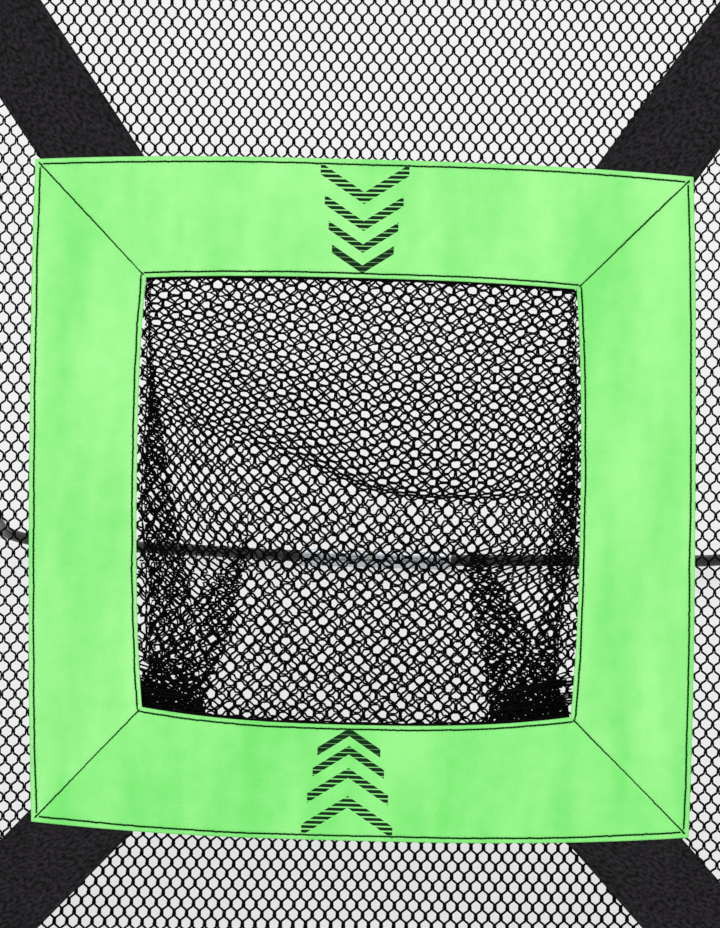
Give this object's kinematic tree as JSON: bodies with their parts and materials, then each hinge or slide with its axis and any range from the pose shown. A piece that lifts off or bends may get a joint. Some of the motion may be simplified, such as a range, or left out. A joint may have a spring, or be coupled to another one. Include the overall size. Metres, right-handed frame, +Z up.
{
  "type": "golf chipping net",
  "caption": "Golf chipping net: a leaning tube frame with a folding rear stand, a square cloth target on corner straps, a slack ball pocket and a knitted backstop.",
  "frame": {"origin": "centre of the overall box on the ground", "axes": "X across the net, +Y away from the golfer, +Z up"},
  "size_m": [0.643, 0.5887, 0.6494],
  "materials": {
    "black_powder_coat": "satin black powder coat",
    "polished_steel": "bright drawn steel sleeve",
    "zinc_steel": "zinc plated fasteners",
    "nylon": "natural nylon washers",
    "black_plastic": "moulded black plastic",
    "black_rubber": "moulded black rubber",
    "green_cloth": "neon green woven polyester, topstitched, with black chevrons",
    "black_cloth": "black woven polyester webbing",
    "hem_cloth": "doubled black polyester binding",
    "black_mesh": "black knitted polyester netting"
  },
  "bodies": {
    "frame": {"frame_tube_left": "black_powder_coat", "frame_tube_right": "black_powder_coat", "top_sleeve": "polished_steel", "bottom_sleeve": "polished_steel", "front_foot_left": "black_rubber", "front_foot_right": "black_rubber", "hinge_bracket_left": "black_powder_coat", "hinge_bracket_right": "black_powder_coat", "bracket_rivets": "zinc_steel", "hinge_bolts": "zinc_steel", "hinge_nuts": "zinc_steel", "hinge_washers": "nylon", "stop_pins": "zinc_steel", "target_band_top": "green_cloth", "target_band_bottom": "green_cloth", "target_band_left": "green_cloth", "target_band_right": "green_cloth", "corner_strap_top_left": "black_cloth", "corner_strap_top_right": "black_cloth", "corner_strap_bottom_left": "black_cloth", "corner_strap_bottom_right": "black_cloth", "net_hem_top": "hem_cloth", "net_hem_bottom": "hem_cloth", "net_hem_left": "hem_cloth", "net_hem_right": "hem_cloth", "net_middle": "black_mesh", "net_slope_top": "black_mesh", "net_slope_bottom": "black_mesh", "net_slope_left": "black_mesh", "net_slope_right": "black_mesh", "ball_pocket": "black_mesh"},
    "stand": {"leg_tube_left": "black_powder_coat", "leg_tube_right": "black_powder_coat", "leg_plugs": "black_plastic", "bar_sleeve": "polished_steel", "rear_foot_left": "black_rubber", "rear_foot_right": "black_rubber"}
  },
  "joints": [
    {"name": "stand_fold", "type": "hinge", "parent": "frame", "child": "stand", "pos_m": [0, -0.02903, 0.37121], "axis": [-1, 0, 0], "range_deg": [0, 74]}
  ]
}
